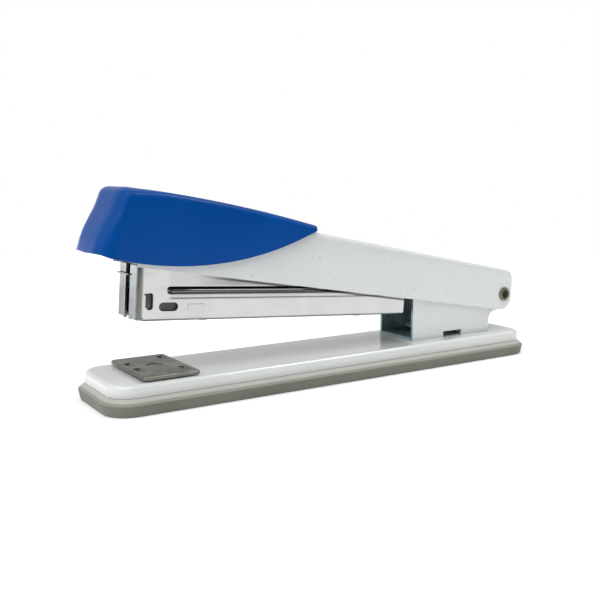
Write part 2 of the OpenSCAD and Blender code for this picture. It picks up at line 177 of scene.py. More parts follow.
def bump(nt, bsdf, height, depth, strength):
    """Relief up to depth millimetres."""
    b = nt.nodes.new("ShaderNodeBump")
    b.inputs["Strength"].default_value = strength
    b.inputs["Distance"].default_value = depth * MM
    link(nt, height, b.inputs["Height"])
    link(nt, b.outputs["Normal"], bsdf.inputs["Normal"])


def shade(nt, bsdf, factor, colour):
    """Mixes a colour over the base colour by a factor socket."""
    below = bsdf.inputs["Base Color"].links[0].from_socket
    link(nt, mix_colour(nt, factor, below, colour), bsdf.inputs["Base Color"])


def along(nt, direction, offset):
    """Distance in millimetres along a direction in the frame's XZ plane."""
    d = nt.nodes.new("ShaderNodeVectorMath")
    d.operation = "DOT_PRODUCT"
    link(nt, coords(nt), d.inputs[0])
    d.inputs[1].default_value = (direction[0] / MM, 0, direction[1] / MM)
    return maths(nt, "ADD", d.outputs["Value"], -offset)


def scaled(colour, factor):
    return tuple(c * factor for c in colour)


# ---- kinds of finish ----


def painted(name, colour, tint, rough, coat):
    """Glossy enamel on pressed steel: faint clouding, grime, orange peel and a few specks of dust."""
    m, nt, bsdf = new_material(name)
    v = coords(nt)
    cloud = remap(nt, noise(nt, v, size=28), (0.35, 0.7), (0, 1))
    base = mix_colour(nt, cloud, colour, tint)
    grime = remap(nt, noise(nt, v, size=17, rough=0.5), (0.5, 0.8), (0, 0.05))
    base = mix_colour(nt, grime, base, scaled(tint, 0.72))
    speck = remap(nt, noise(nt, v, size=0.9, detail=1, rough=0.4), (0.765, 0.795), (0, 0.6))
    base = mix_colour(nt, speck, base, scaled(tint, 0.32))
    link(nt, base, bsdf.inputs["Base Color"])
    uneven = remap(nt, noise(nt, v, size=9, detail=4), (0.35, 0.7), (rough * 0.8, rough * 1.35))
    link(nt, uneven, bsdf.inputs["Roughness"])
    bsdf.inputs["IOR"].default_value = 1.5
    bsdf.inputs["Coat Weight"].default_value = coat
    bsdf.inputs["Coat Roughness"].default_value = 0.08
    slow = maths(nt, "MULTIPLY", noise(nt, v, size=22, detail=1), 3.0)
    peel = maths(nt, "ADD", noise(nt, v, size=2.4, detail=2), slow)
    bump(nt, bsdf, peel, depth=0.018, strength=0.6)
    return m


def moulded(name, colour, tint, rough, grain, depth, spec=0.5, dust=0.1):
    """Injection-moulded plastic: spark-eroded grain, faint clouding and pale handling dust."""
    m, nt, bsdf = new_material(name)
    v = coords(nt)
    cloud = remap(nt, noise(nt, v, size=24), (0.35, 0.7), (0, 1))
    base = mix_colour(nt, cloud, colour, tint)
    film = remap(nt, noise(nt, v, size=5, detail=6, rough=0.65), (0.55, 0.85), (0, dust))
    base = mix_colour(nt, film, base, tuple(c * 0.7 + 0.22 for c in colour))
    link(nt, base, bsdf.inputs["Base Color"])
    broad = remap(nt, noise(nt, v, size=14, detail=4), (0.3, 0.7), (rough * 0.85, rough * 1.2))
    fine = remap(nt, noise(nt, v, size=1.5), (0.4, 0.8), (0, 0.06))
    link(nt, maths(nt, "ADD", broad, fine), bsdf.inputs["Roughness"])
    bsdf.inputs["Specular IOR Level"].default_value = spec
    bump(nt, bsdf, noise(nt, v, size=grain, rough=0.6), depth=depth, strength=0.8)
    return m


def plated(name, colour, tint, rough, brush, scuff, wave, metal=1.0):
    """Plated or bare steel: rolling marks along brush, scuffs, and a little staining."""
    m, nt, bsdf = new_material(name)
    v = coords(nt)
    cloud = remap(nt, noise(nt, v, size=12, detail=4), (0.35, 0.7), (0, 1))
    base = mix_colour(nt, cloud, colour, tint)
    stain = remap(nt, noise(nt, v, size=3.2, detail=6, rough=0.7, distortion=0.4), (0.60, 0.82), (0, 0.2))
    base = mix_colour(nt, stain, base, (0.30, 0.24, 0.18))
    lines = noise(nt, coords(nt, brush), size=0.35, detail=4, rough=0.65)
    base = mix_colour(nt, remap(nt, lines, (0.35, 0.75), (0, scuff)), base, scaled(colour, 0.55))
    link(nt, base, bsdf.inputs["Base Color"])
    bsdf.inputs["Metallic"].default_value = metal
    broad = remap(nt, noise(nt, v, size=7, detail=4), (0.3, 0.75), (rough * 0.75, rough * 1.35))
    fine = remap(nt, lines, (0.45, 0.8), (0, scuff))
    link(nt, maths(nt, "ADD", broad, fine), bsdf.inputs["Roughness"])
    height = maths(nt, "ADD", lines, maths(nt, "MULTIPLY", noise(nt, v, size=9, detail=2), wave))
    bump(nt, bsdf, height, depth=0.006, strength=0.5)
    return m


# ---- this stapler's finishes ----


def pad_rubber():
    """Rubber pad, with a painted highlight on the upward-facing bevel and on the ledge that carries the
    plate.
    """
    m = moulded("pad_grey", (0.15, 0.152, 0.124), (0.18, 0.182, 0.152), rough=0.5, grain=0.5,
                depth=0.012, spec=0.4, dust=0.1)
    nt = m.node_tree
    height = axes(nt, coords(nt))["Z"]
    # painted highlight: the bevel and the ledge, which face up, are paler by height
    bevel = remap(nt, height, (3.25 * MM, 3.5 * MM), (0, 0.3))
    ledge = remap(nt, height, (3.85 * MM, 4.2 * MM), (0, 0.6))
    shade(nt, nt.nodes["Principled BSDF"], maths(nt, "ADD", bevel, ledge), (0.47, 0.47, 0.43))
    return m


def base_enamel():
    """The base plate's enamel, with painted shade darkening its side towards the pad and a painted shadow
    line where the plate stands in the pad.
    """
    m = painted("base_enamel", (0.72, 0.745, 0.73), (0.69, 0.715, 0.70), rough=0.16, coat=0.6)
    nt = m.node_tree
    bsdf = nt.nodes["Principled BSDF"]
    height = axes(nt, coords(nt))["Z"]
    # painted shade: darker towards the bottom of the plate's side, next to the pad
    shade(nt, bsdf, remap(nt, height, (4.6 * MM, 7.4 * MM), (0.5, 0)), (0.33, 0.33, 0.31))
    # painted shadow: a dark line where the plate meets the pad
    shade(nt, bsdf, remap(nt, height, (4.95 * MM, 5.35 * MM), (0.85, 0)), (0.12, 0.12, 0.11))
    return m


# the magazine's chrome: how dark the painted reflections and shade above, on and below the bead are, at
# heights w on the side wall
BEAD_SHADE_LOW, BEAD_SHADE_HIGH = -8.0, 4.0
BEAD_SHADE = [(-1.0, 0.0), (-0.7, 0.25), (-0.42, 0.78), (-0.15, 0.15), (0.35, 0.0), (0.7, 0.45),
          (0.95, 0.5), (1.15, 0.05), (1.55, 0.05), (1.72, 0.6), (1.9, 0.6), (2.02, 0.1)]
# the handle's lower edge crosses the side wall at w = EDGE_SLOPE * u + EDGE_START
EDGE_SLOPE, EDGE_START = -0.101, -5.87


def case_chrome():
    """Chrome of the magazine case, with painted dark reflections and shade along the bead and in the bends at
    the lower edge and the nose, painted shade under the handle and a painted shadow under the handle's edge.
    """
    m = plated("case_chrome", (0.57, 0.57, 0.56), (0.53, 0.53, 0.52), rough=0.085,
               brush=(0.04, 1, 1), scuff=0.05, wave=6.0)
    nt = m.node_tree
    bsdf = nt.nodes["Principled BSDF"]
    c, s = math.cos(MAGAZINE_PITCH), math.sin(MAGAZINE_PITCH)
    u = along(nt, (c, -s), PIN.x * c - PIN.z * s)
    w = along(nt, (s, c), PIN.x * s + PIN.z * c)

    # painted dark reflections and shade in bands along the bead, behind the slot's hook
    ramp = nt.nodes.new("ShaderNodeValToRGB")
    link(nt, remap(nt, w, (BEAD_SHADE_LOW, BEAD_SHADE_HIGH), (0, 1), smooth=False), ramp.inputs["Fac"])
    stops = ramp.color_ramp.elements
    while len(stops) < len(BEAD_SHADE):
        stops.new(0.5)
    for stop, (at, dark) in zip(stops, BEAD_SHADE):
        stop.position = (at - BEAD_SHADE_LOW) / (BEAD_SHADE_HIGH - BEAD_SHADE_LOW)
        stop.color = (dark, dark, dark, 1)
    behind_hook = remap(nt, u, (-135.6, -133.8), (0, 1))
    shade(nt, bsdf, maths(nt, "MULTIPLY", ramp.outputs["Color"], behind_hook), (0.05, 0.045, 0.04))

    # painted dark reflection in the bend along the lower edge
    lower_bend_reflection = remap(nt, w, (-7.0, -6.3), (0.65, 0))
    shade(nt, bsdf, lower_bend_reflection, (0.06, 0.07, 0.075))
    # painted dark reflection in the bend between the nose flange and the side wall
    nose_bend_reflection = remap(nt, u, (-143.5, -142.6), (0.8, 0))
    shade(nt, bsdf, nose_bend_reflection, (0.085, 0.075, 0.055))

    # painted shade on the upper wall under the handle, growing towards the rear, made patchy by noise
    rear = remap(nt, u, (-132, -112), (0, 0.55))
    under_handle_shade = maths(nt, "MULTIPLY", rear, remap(nt, w, (3.1, 3.6), (0, 1)))
    patchy = remap(nt, noise(nt, coords(nt, (0.25, 1, 1)), size=2.5), (0.3, 0.7), (0.7, 1.15))
    shade(nt, bsdf, maths(nt, "MULTIPLY", under_handle_shade, patchy), (0.13, 0.13, 0.12))

    # painted shadow: a dark line just under the handle's lower edge
    edge = maths(nt, "ADD", maths(nt, "MULTIPLY", u, EDGE_SLOPE), EDGE_START)
    under = maths(nt, "SUBTRACT", edge, w)
    handle_edge_shadow = remap(nt, under, (0.85, 1.2), (0.8, 0))
    handle_edge_shadow = maths(nt, "MULTIPLY", handle_edge_shadow, remap(nt, u, (-128, -112), (0, 1)))
    handle_edge_shadow = maths(nt, "MULTIPLY", handle_edge_shadow, remap(nt, under, (0.1, 0.5), (0, 1)))
    shade(nt, bsdf, handle_edge_shadow, (0.03, 0.03, 0.03))
    return m


MATERIALS = {
    "pad": pad_rubber(),
    "white_paint": painted("white_enamel", (0.71, 0.74, 0.725), (0.69, 0.72, 0.71), rough=0.2, coat=0.4),
    "blue_cap": moulded("cap_blue", (0.0015, 0.069, 0.315), (0.0012, 0.062, 0.285), rough=0.18,
                        grain=0.45, depth=0.004, spec=0.10, dust=0.006),
    "base_paint": base_enamel(),
    "case": case_chrome(),
    "chrome": plated("chrome_plate", (0.60, 0.60, 0.59), (0.56, 0.56, 0.55), rough=0.085,
                     brush=(0.04, 1, 1), scuff=0.05, wave=6.0),
    # a darker copy of the chrome for the nose flanges: the brushing is their own, the darkness is painted
    # shade
    "nose": plated("nose_plate", (0.29, 0.31, 0.32), (0.17, 0.18, 0.19), rough=0.2,
                   brush=(1, 1, 0.05), scuff=0.3, wave=3.0),
    "bare": plated("dark_steel", (0.27, 0.38, 0.41), (0.22, 0.31, 0.34), rough=0.34,
                   brush=(0.06, 1, 1), scuff=0.05, wave=2.0, metal=0.45),
    "rail_steel": plated("zinc_plate", (0.60, 0.60, 0.59), (0.52, 0.52, 0.52), rough=0.25,
                         brush=(0.06, 1, 1), scuff=0.12, wave=2.0),
    # a dark copy of the zinc plate: painted shade for the rail, its end plate, the spring seat and the pusher
    # inside the case
    "rail_shade": plated("rail_dark", (0.11, 0.11, 0.108), (0.08, 0.08, 0.078), rough=0.3,
                         brush=(0.06, 1, 1), scuff=0.1, wave=2.0),
    "anvil_steel": plated("anvil_nickel", (0.215, 0.21, 0.185), (0.17, 0.165, 0.145), rough=0.36,
                          brush=(1, 0.08, 1), scuff=0.12, wave=1.0),
    "spring_steel": plated("spring_wire", (0.62, 0.62, 0.61), (0.52, 0.52, 0.51), rough=0.2,
                           brush=(1, 1, 1), scuff=0.1, wave=1.0),
    "rivet_bronze": plated("rivet_nickel", (0.22, 0.21, 0.165), (0.10, 0.095, 0.07), rough=0.26,
                           brush=(1, 1, 1), scuff=0.2, wave=1.0),
    # painted shade: the shallow hollows in the pin's ends, dark as a deep bore would look
    "rivet_bore": plated("bore_painted_shade", (0.045, 0.04, 0.025), (0.025, 0.022, 0.014), rough=0.4,
                         brush=(1, 1, 1), scuff=0.2, wave=1.0),
    "button_plastic": moulded("button_dark", (0.035, 0.037, 0.04), (0.05, 0.05, 0.055), rough=0.5,
                              grain=0.5, depth=0.01),
}

# ---- mesh helpers ----

# points closer than this are one point, in the CAD meshes and in the case's shell
CLOSE = 0.002
CORNER_STEPS = 14
SIDES = ((-1, "near"), (1, "far"))


def arc(cx, cy, r, start, end, n):
    """n + 1 points on an arc between two angles in degrees."""
    out = []
    for i in range(n + 1):
        t = math.radians(start + (end - start) * i / n)
        out.append((cx + r * math.cos(t), cy + r * math.sin(t)))
    return out


def circle(cx, cy, r, n):
    return arc(cx, cy, r, 0, 360, n)[:-1]


def rounded(length, width, r, n):
    """A rectangle with round corners, each of n steps."""
    x, y = length / 2 - r, width / 2 - r
    corners = ((x, y), (-x, y), (-x, -y), (x, -y))
    return [p for i, (cx, cy) in enumerate(corners) for p in arc(cx, cy, r, 90 * i, 90 * i + 90, n)]


def step(start, end, x):
    """Rises smoothly from 0 at start to 1 at end."""
    t = min(max((x - start) / (end - start), 0.0), 1.0)
    return t * t * (3 - 2 * t)


def eased(x, first, *changes):
    """A value that starts as first and turns smoothly into each new one between that one's start and end."""
    value = last = first
    for new, start, end in changes:
        value += (new - last) * step(start, end, x)
        last = new
    return value


def spread(*stops):
    """Values between stops of (value, number of steps to the next)."""
    out = []
    for (a, n), (b, _) in zip(stops, stops[1:]):
        out += [a + (b - a) * i / n for i in range(n)]
    return out + [stops[-1][0]]


def vert(bm, point):
    return bm.verts.new(Vector(point) * MM)


def grid(bm, rows, wrap=False):
    """Quads through rows of points, which all have the same length."""
    made = [[vert(bm, p) for p in row] for row in rows]
    for a, b in zip(made, made[1:]):
        bridge(bm, a, b, wrap)
    return made


def bridge(bm, a, b, wrap=True):
    """Quads between two rows of vertices."""
    n = len(a)
    for j in range(n if wrap else n - 1):
        k = (j + 1) % n
        bm.faces.new((a[j], a[k], b[k], b[j]))


def to_object(name, bm):
    """Turns a bmesh into an object in the scene."""
    me = bpy.data.meshes.new(name)
    bm.to_mesh(me)
    bm.free()
    ob = bpy.data.objects.new(name, me)
    bpy.context.scene.collection.objects.link(ob)
    return ob


def settle(ob):
    """Applies the object's modifiers to its mesh."""
    bpy.context.view_layer.update()
    dg = bpy.context.evaluated_depsgraph_get()
    done = bpy.data.meshes.new_from_object(ob.evaluated_get(dg))
    old = ob.data
    ob.modifiers.clear()
    ob.data = done
    done.name = ob.name
    bpy.data.meshes.remove(old)


def finish_piece(name, bm, body, slot, nodes, look=None, thickness=0.0, wall="", even=True, bevel=0.0,
                 segments=3, angle=40.0, sharp=50.0, merge=0.0005, recalc=True, weighted=True):
    """Turns a bmesh into a piece that rides on its body and stands for its CAD nodes.

    thickness makes a sheet of the surface, thinner where the vertex group wall says so. bevel rounds
    the edges over angle, and those over sharp stay sharp in the shading. look is its material where
    that isn't the one named as its slot.
    """
    bmesh.ops.remove_doubles(bm, verts=bm.verts, dist=merge * MM)
    if recalc:
        bmesh.ops.recalc_face_normals(bm, faces=bm.faces)
    ob = to_object(name, bm)
    ob.data.polygons.foreach_set("use_smooth", [True] * len(ob.data.polygons))
    if thickness:
        m = ob.modifiers.new("sheet", "SOLIDIFY")
        m.thickness, m.offset, m.use_even_offset = thickness * MM, -1.0, even
        if wall:
            ob.vertex_groups.new(name=wall)
            m.vertex_group = wall
    if bevel:
        m = ob.modifiers.new("edges", "BEVEL")
        m.width, m.segments, m.miter_outer = bevel * MM, segments, "MITER_ARC"
        m.limit_method, m.angle_limit = "ANGLE", math.radians(angle)
    settle(ob)
    ob.data.set_sharp_from_angle(angle=math.radians(sharp))
    if weighted:
        m = ob.modifiers.new("normals", "WEIGHTED_NORMAL")
        m.mode, m.keep_sharp = "FACE_AREA", True
        settle(ob)
    ob.data.materials.append(MATERIALS[look or slot])
    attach(ob, body)
    if nodes:
        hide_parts(*nodes)
    return ob


def refined(node, body, slot, bevel, look=None):
    """A CAD node's own shape with its pressed or moulded edges rounded."""
    bm = bmesh.new()
    bm.from_mesh(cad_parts[node].data)
    bmesh.ops.remove_doubles(bm, verts=bm.verts, dist=CLOSE * MM)
    bmesh.ops.dissolve_degenerate(bm, edges=bm.edges, dist=CLOSE * MM)
    bmesh.ops.dissolve_limit(bm, angle_limit=math.radians(0.6), verts=bm.verts, edges=bm.edges)
    return finish_piece(node + "_piece", bm, body, slot, [node], look=look, bevel=bevel, angle=35, sharp=45)


def split_material(ob, name, wanted):
    """Gives the faces whose centre, in millimetres, is wanted another material."""
    ob.data.materials.append(MATERIALS[name])
    for f in ob.data.polygons:
        if wanted(f.center / MM):
            f.material_index = len(ob.data.materials) - 1


def prism(bm, outline, y0, y1, to_row=mag):
    """A closed solid over a (u, w) outline between two y values."""
    a, b = [[vert(bm, to_row(u, y, w)) for u, w in outline] for y in (y0, y1)]
    bridge(bm, a, b)
    bm.faces.new(list(reversed(a)))
    bm.faces.new(b)


def stacked(bm, length, width, corner, levels):
    """Rounded rectangles stacked through [inset, height] levels."""
    rows = []
    for inset, z in levels:
        r = max(corner - inset, 0.05)
        outline = rounded(length - 2 * inset, width - 2 * inset, r, CORNER_STEPS)
        rows.append([(x, y, z) for x, y in outline])
    return grid(bm, rows, wrap=True)


def coil(name, body, node, to_row, radius, wire, length, turns, steps=28, sides=10):
    """A compression spring with evenly spaced turns, its axis along the third coordinate."""
    bm = bmesh.new()
    count = int(turns * steps)
    rows = []
    for i in range(count + 1):
        a = 2 * math.pi * i / steps
        z = wire + (length - 2 * wire) * i / count
        row = []
        for j in range(sides):
            b = 2 * math.pi * j / sides
            q = radius + wire * math.cos(b)
            row.append(to_row(q * math.cos(a), q * math.sin(a), z + wire * math.sin(b)))
        rows.append(row)
    made = grid(bm, rows, wrap=True)
    bm.faces.new(made[0])
    bm.faces.new(made[-1])
    return finish_piece(name, bm, body, "spring_steel", [node], sharp=60)


# ---- base ----

BOSS = 0.4
plate_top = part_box("base_plate")[1].z / MM - BOSS
anvil = centre_mm("anvil_post")

PAD_CORNER, PAD_FOOT, PAD_TAPER = 8.6, 0.5, 0.6
# the pad's side, its bevelled rim, and the ledge and recess that the plate stands in: [inset, height]
PAD_RIM = [(PAD_TAPER * 0.35, 2.0), (0.06, 2.9), (0, 3.15), (0.03, 3.3), (0.12, 3.4), (0.24, 3.46),
           (1.75, 4.75), (1.88, 4.86), (1.96, 5.0), (1.97, 4.8), (1.97, 2.2), (6.0, 2.2)]
WELL_RADIUS, WELL_TOP, WELL_SIDES = 8.5, 7.8, 64

PLATE_CORNER, PLATE_EDGE = 6.6, 1.5
# the plate's lower edge, turned in under it: [inset, height]
PLATE_FOOT = [(1.0, 2.6), (0.95, 2.15), (0.75, 2.0), (0.3, 2.0), (0.08, 2.08), (0, 2.3)]
# the boss under the anvil: [radius, height above the plate]
BOSS_RINGS = [(6.9, -0.02), (6.7, 0.03), (6.5, 0.2), (6.3, 0.36), (6.0, BOSS), (2.0, BOSS)]
# the flared rim and the hollow of the hinge pin: [radius, distance outside its end]
PIN_RINGS = [(1.62, -0.06), (1.5, 0.02), (1.3, 0.03), (1.12, -0.02), (0.5, -0.02)]


def base_pad():
    size = span_mm("base_pad")
    bm = bmesh.new()
    levels = []
    for a in range(0, 91, 15):
        t = math.radians(a)
        levels.append((PAD_TAPER + PAD_FOOT * (1 - math.sin(t)), PAD_FOOT * (1 - math.cos(t))))
    outside = stacked(bm, size.x, size.y, PAD_CORNER, levels + PAD_RIM)[0]
    rim = circle(anvil.x, 0, WELL_RADIUS, WELL_SIDES)
    well = grid(bm, [[(x, y, z) for x, y in rim] for z in (0, WELL_TOP)], wrap=True)[0]
    edges = []
    for loop in (outside, well):
        edges += [bm.edges.get((a, b)) for a, b in zip(loop, loop[1:] + loop[:1])]
    bmesh.ops.triangle_fill(bm, use_beauty=True, use_dissolve=False, edges=edges)
    finish_piece("base_pad_moulding", bm, "base", "pad", ["base_pad"], sharp=40)


def base_plate():
    size = span_mm("base_plate")
    bm = bmesh.new()
    levels = PLATE_FOOT + [(0, plate_top - PLATE_EDGE)]
    for a in range(10, 91, 10):
        t = math.radians(a)
        levels.append((PLATE_EDGE * (1 - math.cos(t)), plate_top - PLATE_EDGE * (1 - math.sin(t))))
    bm.faces.new(stacked(bm, size.x, size.y, PLATE_CORNER, levels)[-1])
    rows = [[(x, y, plate_top + z) for x, y in circle(anvil.x, 0, r, 64)] for r, z in BOSS_RINGS]
    bm.faces.new(grid(bm, rows, wrap=True)[-1])
    finish_piece("base_plate_pressing", bm, "base", "white_paint", ["base_plate"], look="base_paint",
                 sharp=60)


def pin_hollows():
    end = span_mm("hinge_pin").y / 2
    for side, tag in SIDES:
        rows = [[(x, side * (end + out), z) for x, z in circle(PIN.x, PIN.z, r, 48)] for r, out in PIN_RINGS]
        bm = bmesh.new()
        bm.faces.new(grid(bm, rows, wrap=True)[-1])
        # the hollow takes the painted shade of rivet_bore
        finish_piece("pin_hollow_" + tag, bm, "base", "rivet_bronze", [], look="rivet_bore", sharp=30)


base_pad()
base_plate()
bracket = refined("hinge_bracket", "base", "white_paint", bevel=0.22)
ear = span_mm("hinge_bracket").y / 2
split_material(bracket, "bare", lambda c: abs(c.y) < ear - 0.85 and c.z > plate_top + 0.9)
refined("bracket_rivets", "base", "rail_steel", bevel=0.3)
leaf = refined("lift_spring", "base", "spring_steel", bevel=0.08)
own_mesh(leaf)
refined("hinge_pin", "base", "rivet_bronze", bevel=0.2)
pin_hollows()

# ---- anvil ----

refined("anvil_plate", "anvil", "anvil_steel", bevel=0.12)
refined("anvil_post", "anvil", "rail_steel", bevel=0.08, look="anvil_steel")
refined("anvil_button", "anvil_carrier", "button_plastic", bevel=0.4)

# ---- magazine ----

CASE_HALF, CASE_SHEET, CASE_BEND = 7.5, 0.7, 1.1
CASE_LOW, CASE_HIGH = -7.1, 8.9
NOSE, SLOT_HALF, TROUGH_END = -144.7, 1.65, -46.0
BEAD_W, BEAD_HALF, BEAD_RISE = 0.75, 1.2, 0.5
# the wall's upper edge, its points over w = LIP_W, stands LIP higher in front of u = LIP_END
LIP_W, LIP, LIP_END = 8, 0.3, -60
FLANGE_DISH = 0.10
PIN_HOLE = 2.06


def bead(u, w):
    """How far the stiffening bead stands out of the side wall."""
    end = step(-135.4, -133.6, u) * (1 - step(-52.5, -50.5, u))
    q = abs(w - BEAD_W) / (BEAD_HALF * (0.55 + 0.45 * end))
    return BEAD_RISE * end * (math.sqrt(max(1 - q * q, 0.0)) if q < 1 else 0.0)


def ripple(u, w):
    """Slight unevenness of the drawn sheet."""
    broad = 0.035 * math.sin(u * 0.11 + 0.6) * math.sin(w * 0.42 + 1.0)
    return broad + 0.02 * math.sin(u * 0.31 + w * 0.5)


def side_wall(side, u, w):
    """A point on the outside of a side wall."""
    behind_bend = step(NOSE + CASE_BEND, NOSE + CASE_BEND + 3, u)
    off_bead = step(0.1, 1.2, abs(w - BEAD_W) - BEAD_HALF + 0.3)
    out = CASE_HALF + bead(u, w) + behind_bend * ripple(u, w) * off_bead
    return mag(u, side * out, w + (LIP if w > LIP_W and u < LIP_END else 0.0))


def case_shell(side):
    """Half of the magazine case: nose flange, bend, side wall with its bead, and half of the floor."""
    bm = bmesh.new()
    us = spread((NOSE + CASE_BEND, 8), (-136, 14), (-133.2, 20), (-53, 12), (-50, 2), (TROUGH_END, 0))
    upper = [(BEAD_W - BEAD_HALF, 16), (BEAD_W + BEAD_HALF, 3), (3.4, 6), (CASE_HIGH - LIP, 0)]
    ws = spread((CASE_LOW + CASE_BEND, 6), *upper)
    grid(bm, [[side_wall(side, u, w) for w in ws] for u in us])

    # the bend below the wall, and the floor
    turn = arc(0, 0, CASE_BEND, 0, -90, 6)[1:]
    rows = []
    for u in (u for u in us if u > NOSE + 1.8):
        row = [side_wall(side, u, ws[0])]
        row += [mag(u, side * (CASE_HALF - CASE_BEND + a), CASE_LOW + CASE_BEND + b) for a, b in turn]
        row += [mag(u, side * y, CASE_LOW) for y in (5.0, 3.0, 1.5, 0.0)]
        rows.append(row)
    grid(bm, rows)

    # the nose: the wall turns a corner into the flange, which reaches a little lower beside the slot
    ws = spread((CASE_LOW + 0.35, 1), (CASE_LOW + CASE_BEND, 6), *upper)
    rows = []
    for a, b in arc(0, 0, CASE_BEND, 90, 180, 8):
        u, y = NOSE + CASE_BEND + a, CASE_HALF - CASE_BEND + b
        rows.append([mag(u, side * y, w + (LIP if w > LIP_W else 0)) for w in ws])
    for y in (5.6, 4.8, 4.0, 3.2, 2.4, SLOT_HALF):
        u = NOSE + FLANGE_DISH * math.sin(math.pi * (y - SLOT_HALF) / 5.0)
        row = []
        for w in ws:
            low = 0.35 if w < CASE_LOW + 0.5 and y < 3 else 0
            row.append(mag(u, side * y, w + (LIP if w > LIP_W else 0) - low))
        rows.append(row)
    grid(bm, rows)

    bmesh.ops.remove_doubles(bm, verts=bm.verts, dist=CLOSE * MM)
    bmesh.ops.recalc_face_normals(bm, faces=bm.faces)
    target = Vector(mag(-100, side * CASE_HALF, 6)) * MM
    probe = min(bm.faces, key=lambda f: (f.calc_center_median() - target).length)
    if probe.normal.y * side < 0:
        bmesh.ops.reverse_faces(bm, faces=bm.faces)
    return bm


# openings in the side walls, as (u, w) outlines
LONG_SLOT = ([(-62.4, 2.15), (-62.4, 3.05), (-134.6, 3.05)] + arc(-134.6, 2.2, 0.85, 90, 200, 6)
             + [(-135.5, 1.35), (-135.0, 0.95), (-134.3, 1.15), (-134.0, 1.9), (-133.4, 2.15)])
NOSE_WINDOW = ([(-141.9, 1.0), (-142.5, 1.0), (-142.5, 0.55), (-142.1, 0.45), (-142.1, -2.9), (-141.3, -3.75)]
               + arc(-140.6, -2.9, 0.9, -90, 0, 4) + arc(-140.6, 0.3, 0.9, 5, 80, 3))
OVAL_WINDOW = arc(-133.1, -2.9, 1.3, -90, 90, 8) + arc(-136.6, -2.9, 1.3, 90, 270, 8)
# the embossed outline of a staple beside them
STAPLE = ([(-128.6, -4.75), (-128.6, -2.6)] + arc(-128.2, -2.6, 0.4, 180, 90, 3)[1:]
          + arc(-123.6, -2.6, 0.4, 90, 0, 3) + [(-123.2, -4.75)])
STAPLE_RADIUS = 0.11
ARM = ([(TROUGH_END, -0.7), (TROUGH_END, 8.2), (-20, 6.0)] + arc(0, 0, 3.7, 70, -70, 16) + [(-8, -4.5)])
WEB = [(-45.6, -0.6), (-12, -4.1), (-12, -3.4), (-45.6, 0.1)]
WEB_HALF = 6.75


def carve(ob, outlines, side):
    """Cuts outlines through one side wall."""
    bm = bmesh.new()
    for outline in outlines:
        prism(bm, outline, side * (CASE_HALF - 2), side * (CASE_HALF + 2))
    bmesh.ops.recalc_face_normals(bm, faces=bm.faces)
    cutter = to_object("cutter", bm)
    m = ob.modifiers.new("windows", "BOOLEAN")
    m.operation, m.object, m.solver = "DIFFERENCE", cutter, "EXACT"
    settle(ob)
    me = cutter.data
    bpy.data.objects.remove(cutter)
    bpy.data.meshes.remove(me)


def on_nose(c):
    return mag_uw(c)[0] < NOSE + 0.75


def inside_case(c):
    """Whether a point lies inside the walls, behind the nose flange and over the outside of the floor."""
    u, w = mag_uw(c)
    return abs(c.y) < CASE_HALF - 0.2 and u > NOSE + 0.5 and w > CASE_LOW + 0.3


def case_wall(side, tag):
    ob = finish_piece("magazine_wall_" + tag, case_shell(side), "magazine", "chrome", ["magazine_case"],
                      look="case", thickness=CASE_SHEET, recalc=False, weighted=False, sharp=180)
    carve(ob, [LONG_SLOT, NOSE_WINDOW, OVAL_WINDOW], side)
    # the nose flanges take the darker copy of the chrome, painted shade
    split_material(ob, "nose", on_nose)
    split_material(ob, "bare", inside_case)
    ob.data.set_sharp_from_angle(angle=math.radians(50))


def case_arm(side, tag):
    """The flat arm from the trough to the pin, with the pin's hole."""
    bm = bmesh.new()
    hole = circle(0, 0, PIN_HOLE, 32)
    faces = []
    for y in (side * (CASE_HALF - CASE_SHEET), side * CASE_HALF):
        loops = [[vert(bm, mag(u, y, w)) for u, w in outline] for outline in (ARM, hole)]
        edges = []
        for loop in loops:
            edges += [bm.edges.new((a, b)) for a, b in zip(loop, loop[1:] + loop[:1])]
        bmesh.ops.triangle_fill(bm, use_beauty=True, use_dissolve=False, edges=edges)
        faces.append(loops)
    for a, b in zip(*faces):
        bridge(bm, a, b)
    finish_piece("magazine_arm_" + tag, bm, "magazine", "chrome", [], bevel=0.12, segments=2)


def staple_mark(side, tag):
    """A fine raised line that follows the staple's outline on the wall."""
    y = side * (CASE_HALF + 0.02)
    last = len(STAPLE) - 1
    rows = []
    for i, (u, w) in enumerate(STAPLE):
        d = (Vector(STAPLE[min(i + 1, last)]) - Vector(STAPLE[max(i - 1, 0)])).normalized()
        r = STAPLE_RADIUS * (0.35 if i in (0, last) else 1.0)
        rows.append([mag(u - d.y * out, y + up, w + d.x * out) for out, up in circle(0, 0, r, 8)])
    bm = bmesh.new()
    made = grid(bm, rows, wrap=True)
    bm.faces.new(made[0])
    bm.faces.new(made[-1])
    finish_piece("staple_mark_" + tag, bm, "magazine", "chrome", [], sharp=60)


for side, tag in SIDES:
    case_wall(side, tag)
for side, tag in SIDES:
    case_arm(side, tag)
bm = bmesh.new()
prism(bm, WEB, -WEB_HALF, WEB_HALF)
finish_piece("magazine_web", bm, "magazine", "chrome", [], bevel=0.12, segments=2)
for side, tag in SIDES:
    staple_mark(side, tag)
refined("staple_rail", "magazine", "rail_steel", bevel=0.12, look="rail_shade")
refined("rail_rivets", "magazine", "rail_steel", bevel=0.15)
refined("rail_end_plate", "magazine", "rail_steel", bevel=0.12, look="rail_shade")
refined("guide_rod", "magazine", "spring_steel", bevel=0.2)
refined("spring_seat", "magazine", "rail_steel", bevel=0.12, look="rail_shade")
refined("pusher", "pusher", "rail_steel", bevel=0.15, look="rail_shade")

# ---- springs ----

